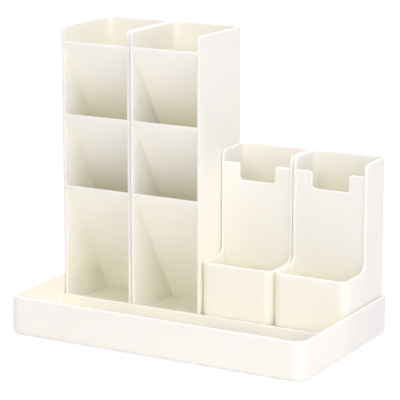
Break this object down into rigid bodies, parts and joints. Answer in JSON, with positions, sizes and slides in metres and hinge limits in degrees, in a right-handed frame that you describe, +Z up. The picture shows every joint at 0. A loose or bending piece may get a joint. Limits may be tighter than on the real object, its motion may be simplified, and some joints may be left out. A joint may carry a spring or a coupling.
{
  "type": "pen holder",
  "caption": "Desk pen holder: a shallow tray with an open trough in front and a row of lift-out modules behind, pen towers with slanted pockets and stepped bins.",
  "frame": {"origin": "on the desk surface, under the middle of the tray", "axes": "+X along the row of modules, from the towers to the bins; +Y from the trough to the back; +Z up"},
  "size_m": [0.226, 0.133, 0.2048],
  "materials": {
    "ivory_plastic": "warm white moulded plastic, softly glossy",
    "foot_rubber": "pale grey soft rubber"
  },
  "bodies": {
    "tray": {"tray": "ivory_plastic", "foot_pad_front_left": "foot_rubber", "foot_pad_front_right": "foot_rubber", "foot_pad_back_left": "foot_rubber", "foot_pad_back_right": "foot_rubber"},
    "tower_left": {"pen_tower_left": "ivory_plastic"},
    "tower_right": {"pen_tower_right": "ivory_plastic"},
    "bin_left": {"step_bin_left": "ivory_plastic"},
    "bin_right": {"step_bin_right": "ivory_plastic"}
  },
  "joints": [
    {"name": "tower_left_lift", "type": "slide", "parent": "tray", "child": "tower_left", "axis": [0, 0, 1], "range_m": [0, 0.06]},
    {"name": "tower_right_lift", "type": "slide", "parent": "tray", "child": "tower_right", "axis": [0, 0, 1], "range_m": [0, 0.06]},
    {"name": "bin_left_lift", "type": "slide", "parent": "tray", "child": "bin_left", "axis": [0, 0, 1], "range_m": [0, 0.06]},
    {"name": "bin_right_lift", "type": "slide", "parent": "tray", "child": "bin_right", "axis": [0, 0, 1], "range_m": [0, 0.06]}
  ]
}
